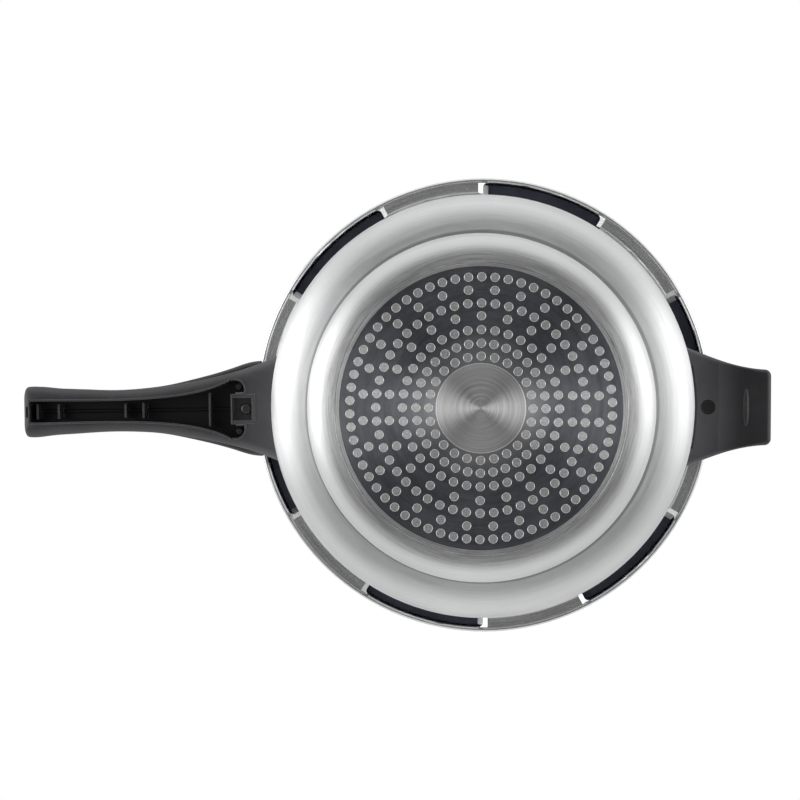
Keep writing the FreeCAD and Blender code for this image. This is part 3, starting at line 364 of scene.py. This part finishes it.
def moulded_rubber(name, colour, roughness):
    """Matte rubber with a slight bloom."""
    m = Material(name, IOR=1.5, Specular_IOR_Level=0.4)
    bloom = m.noise(m.position, 90.0, 4.0, 0.6)
    grain = m.noise(m.position, 1800.0, 2.0)
    lighter = tuple(c * 1.6 + 0.004 for c in colour[:3]) + (1.0,)
    m.set("Base Color", m.mix(m.spread(bloom, 0.35, 0.7), colour, lighter))
    m.set("Roughness", m.spread(bloom, 0.3, 0.7, roughness * 0.85, roughness * 1.15))
    m.set("Normal", m.bump(grain, 0.00006, 0.4))
    return m


def worked_metal(name, colour, roughness, origin=(0.0, 0.0), anisotropy=0.3):
    """Turned or pressed small metal pieces, with fine marks round an upright axis, tarnish, and painted
    highlights on their edges.
    """
    m = Material(name, Metallic=1.0, Anisotropic=anisotropy, IOR=1.5)
    radius, height, round_x, round_y = polar_position(m, origin)
    marks = m.noise(turning_marks(m, radius, height, round_x, round_y, 2200.0, 0.4), 1.0, 4.0, 0.7)
    tarnish = m.noise(m.position, 180.0, 4.0, 0.6)
    darker = tuple(c * 0.78 for c in colour[:3]) + (1.0,)
    # Painted highlight: sharp edges are lightened, as if they caught the light
    edge = m.edges(0.0003)[1]
    edge_highlight_colour = tuple(min(1.0, c * 1.5 + 0.15) for c in colour[:3]) + (1.0,)
    m.set("Base Color", m.mix(edge, m.mix(m.spread(tarnish, 0.35, 0.7), colour, darker), edge_highlight_colour))
    m.set("Roughness", m.spread(m.math("ADD", marks, tarnish), 0.6, 1.4, roughness * 0.75, roughness * 1.4))
    m.set("Normal", m.bump(marks, 0.00004, 0.4))
    return m


def peg_rims():
    """A thin bright bead round each aluminium peg, where the plate was pressed down on it."""
    turns, sides = 20, 6
    bead = 0.00016
    mesh = bpy.data.meshes.new("peg_rims")
    shape = bmesh.new()
    for count, ring_radius, half_steps in PEG_RINGS:
        for i in range(count):
            place = (i + half_steps / 2) * math.tau / count + PEG_TURN
            x, y = ring_radius * math.cos(place), ring_radius * math.sin(place)
            loops = []
            for turn in range(turns):
                a = math.tau * turn / turns
                loop = []
                for side in range(sides):
                    b = math.tau * side / sides
                    reach = PEG_RADIUS + bead * math.cos(b)
                    point = (x + reach * math.cos(a), y + reach * math.sin(a), bead + bead * math.sin(b))
                    loop.append(shape.verts.new(point))
                loops.append(loop)
            for turn in range(turns):
                here, following = loops[turn], loops[(turn + 1) % turns]
                for side in range(sides):
                    after = (side + 1) % sides
                    face = shape.faces.new((here[side], following[side], following[after], here[after]))
                    face.smooth = True
    bmesh.ops.recalc_face_normals(shape, faces=shape.faces)
    shape.to_mesh(mesh)
    shape.free()
    rims = bpy.data.objects.new("peg_rims", mesh)
    bpy.context.scene.collection.objects.link(rims)
    m = Material("peg_rim_aluminium", Metallic=1.0, IOR=1.5)
    wear_and_painted_light = m.noise(m.position, 700.0, 3.0)
    m.set("Base Color", m.mix(wear_and_painted_light, grey(0.8), grey(0.95)))
    m.set("Roughness", m.spread(wear_and_painted_light, 0.3, 0.7, 0.18, 0.4))
    m.set("Normal", m.bump(wear_and_painted_light, 0.00005, 0.4))
    mesh.materials.append(m.material)
    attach(rims, "pot")


def paint(m, *nodes):
    """Gives CAD nodes a material."""
    for node in nodes:
        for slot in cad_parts[node].material_slots:
            slot.link = "OBJECT"
            slot.material = m.material


def centre(node):
    """Where a node's upright axis stands."""
    low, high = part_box(node)
    middle = (low + high) / 2
    return middle.x, middle.y


def paint_nodes():
    """Every CAD node's material."""
    paint(pot_aluminium(), "pot_body")
    paint(lid_aluminium(), "lid_shell")
    paint(induction_steel(), "induction_plate")
    paint(moulded_plastic("helper_plastic", 0.026, 0.36, near_pot_lightness=4.2), "helper_handle")
    paint(moulded_plastic("lid_handle_plastic", 0.036, 0.38), "lid_handle")
    paint(moulded_plastic("body_handle_plastic", 0.044, 0.38, HOLLOW_Z), "body_handle")
    plug = moulded_plastic("plug_plastic", 0.010, 0.45, near_pot_lightness=1.0, edge_highlight_tone=0.012)
    paint(plug, "helper_screw_plug")
    paint(moulded_plastic("cap_plastic", 0.016, 0.35, edge_highlight_tone=0.05), "regulator_cap")
    paint(moulded_rubber("gasket_rubber", (0.018, 0.02, 0.032, 1), 0.5), "gasket")
    seals = ("vent_pipe_washer", "safety_plug_washer", "indicator_washer", "indicator_seal")
    paint(moulded_rubber("seal_rubber", (0.03, 0.03, 0.03, 1), 0.6), *seals)
    steel = worked_metal("bracket_steel", grey(0.62), 0.35)
    paint(steel, "body_handle_bracket", "helper_handle_bracket", "lid_handle_bracket")
    rivets = worked_metal("rivet_aluminium", grey(0.85), 0.3)
    paint(rivets, "body_handle_rivets", "helper_handle_rivets", "lid_handle_rivets")
    screws = worked_metal("screw_steel", grey(0.2), 0.2)
    paint(screws, "body_handle_screw", "helper_handle_screw", "lid_handle_screws")
    paint(worked_metal("vent_steel", grey(0.72), 0.22), "vent_pipe", "vent_pipe_nut")
    indicator = centre("indicator_pin")
    paint(worked_metal("indicator_steel", grey(0.72), 0.24, indicator), "indicator_bush", "indicator_nut")
    paint(worked_metal("pin_steel", grey(0.8), 0.12, indicator), "indicator_pin")
    safety = centre("safety_plug")
    paint(worked_metal("valve_brass", (0.80, 0.58, 0.26, 1), 0.25, safety), "safety_plug", "safety_plug_nut")
    paint(worked_metal("fusible_alloy", grey(0.5), 0.5, safety), "safety_plug_core")
    paint(worked_metal("weight_steel", grey(0.82), 0.14, anisotropy=0.5), "regulator_weight")


def softbox(name, place, aim, size, power):
    """A large area light that lights matt surfaces and shows in no reflection."""
    data = bpy.data.lights.new(name, "AREA")
    data.shape = "RECTANGLE"
    data.size, data.size_y = size
    data.energy = power
    light = bpy.data.objects.new(name, data)
    light.location = place
    light.rotation_mode = "QUATERNION"
    light.rotation_quaternion = (Vector(aim) - Vector(place)).to_track_quat("-Z", "Y")
    light.visible_camera = False
    light.visible_glossy = False
    bpy.context.scene.collection.objects.link(light)


def light_scene():
    """Two softboxes above the object, one of them in front."""
    middle = (0.0, 0.0, 0.07)
    softbox("top_softbox", (0.5, 0.7, 2.0), middle, (1.0, 1.0), 26)
    softbox("front_softbox", (0.9, -1.8, 0.9), middle, (0.9, 0.9), 10)


def make_world():
    """A pale studio, dim straight below and above: bright panels along X, softer ones along Y."""
    world = bpy.data.worlds.new("studio")
    bpy.context.scene.world = world
    world.use_nodes = True
    m = Graph(world.node_tree)
    output = m.add("ShaderNodeOutputWorld")
    x, y, z = m.separate(m.add("ShaderNodeTexCoord").outputs["Generated"])
    across = m.math("SQRT", m.math("ADD", m.math("MULTIPLY", x, x), m.math("MULTIPLY", y, y)))
    across = m.math("MAXIMUM", across, 1e-4)
    east = m.math("MULTIPLY", m.math("DIVIDE", x, across), math.cos(PANEL_LEAN))
    north = m.math("DIVIDE", y, across)
    lean = m.math("MULTIPLY", north, math.sin(PANEL_LEAN))
    ramp = m.add("ShaderNodeValToRGB")
    m.link(m.spread(z, -1.0, 1.0), ramp.inputs["Fac"])
    elements = ramp.color_ramp.elements
    while len(elements) < len(SKY_STOPS):
        elements.new(0.5)
    for element, (height, brightness) in zip(elements, SKY_STOPS):
        element.position = (height + 1) / 2
        element.color = grey(brightness)
    below = m.math("MULTIPLY", m.spread(z, -0.98, -0.80), m.spread(z, 0.5, -0.1))
    low_down = m.math("MULTIPLY", m.spread(z, -0.98, -0.8), m.spread(z, -0.1, -0.6))
    level_round = m.math("MULTIPLY", m.spread(z, -0.5, -0.25), m.spread(z, 0.6, 0.3))
    level = ramp.outputs["Color"]
    for along, none_at, full_at, strength, heights in (
        (m.math("ADD", lean, east), 0.86, 0.985, PLUS_X_PANEL, below),
        (m.math("SUBTRACT", lean, east), 0.88, 0.985, MINUS_X_PANEL, below),
        (north, 0.75, 0.95, PLUS_Y_PANEL, low_down),
        (north, 0.3, 0.8, PLUS_Y_BAND, level_round),
        (north, -0.75, -0.95, MINUS_Y_PANEL, low_down),
    ):
        panel = m.math("MULTIPLY", m.spread(along, none_at, full_at), heights)
        level = m.math("ADD", level, m.math("MULTIPLY", panel, strength))
    around = m.add("ShaderNodeBackground")
    m.link(level, around.inputs["Color"])
    backdrop = m.add("ShaderNodeBackground")
    backdrop.inputs["Color"].default_value = grey(1.0)
    choose = m.add("ShaderNodeMixShader")
    m.link(m.add("ShaderNodeLightPath").outputs["Is Camera Ray"], choose.inputs[0])
    m.link(around.outputs[0], choose.inputs[1])
    m.link(backdrop.outputs[0], choose.inputs[2])
    m.link(choose.outputs[0], output.inputs["Surface"])


def make_floor():
    """A pale floor that shows from above only, so that the main view can look up through it."""
    mesh = bpy.data.meshes.new("studio_floor")
    corners = [(x * FLOOR_HALF, y * FLOOR_HALF, 0) for x, y in ((-1, -1), (1, -1), (1, 1), (-1, 1))]
    mesh.from_pydata(corners, [], [(0, 1, 2, 3)])
    floor = bpy.data.objects.new("studio_floor", mesh)
    floor.location.z = -FLOOR_DROP
    bpy.context.scene.collection.objects.link(floor)
    m = Material("floor_paper", Roughness=0.9)
    m.set("Base Color", m.mix(m.noise(m.position, 3.0), grey(0.63), grey(0.66)))
    clear = m.add("ShaderNodeBsdfTransparent")
    side = m.add("ShaderNodeNewGeometry")
    choose = m.add("ShaderNodeMixShader")
    m.link(side.outputs["Backfacing"], choose.inputs[0])
    m.link(m.shader.outputs[0], choose.inputs[1])
    m.link(clear.outputs[0], choose.inputs[2])
    m.link(choose.outputs[0], m.output.inputs["Surface"])
    mesh.materials.append(m.material)
    floor.visible_shadow = False
    floor.visible_glossy = False
    floor.visible_diffuse = False
    floor.visible_transmission = False


def make_camera():
    """The camera, aimed from EYE at TARGET with +Y up, then rolled."""
    data = bpy.data.cameras.new("camera")
    data.lens = LENS_MM
    data.sensor_width = SENSOR_MM
    data.clip_start = 0.01
    camera = bpy.data.objects.new("camera", data)
    bpy.context.scene.collection.objects.link(camera)
    ahead = (TARGET - EYE).normalized()
    up = Vector((0, 1, 0))
    right = ahead.cross(up).normalized()
    up = right.cross(ahead)
    turn = Matrix((right, up, -ahead)).transposed().to_4x4()
    camera.matrix_world = Matrix.Translation(EYE) @ turn @ Matrix.Rotation(ROLL, 4, "Z")
    bpy.context.scene.camera = camera


make_camera()
make_world()
light_scene()
make_floor()
paint_nodes()
peg_rims()
bpy.context.scene.view_settings.view_transform = "Standard"
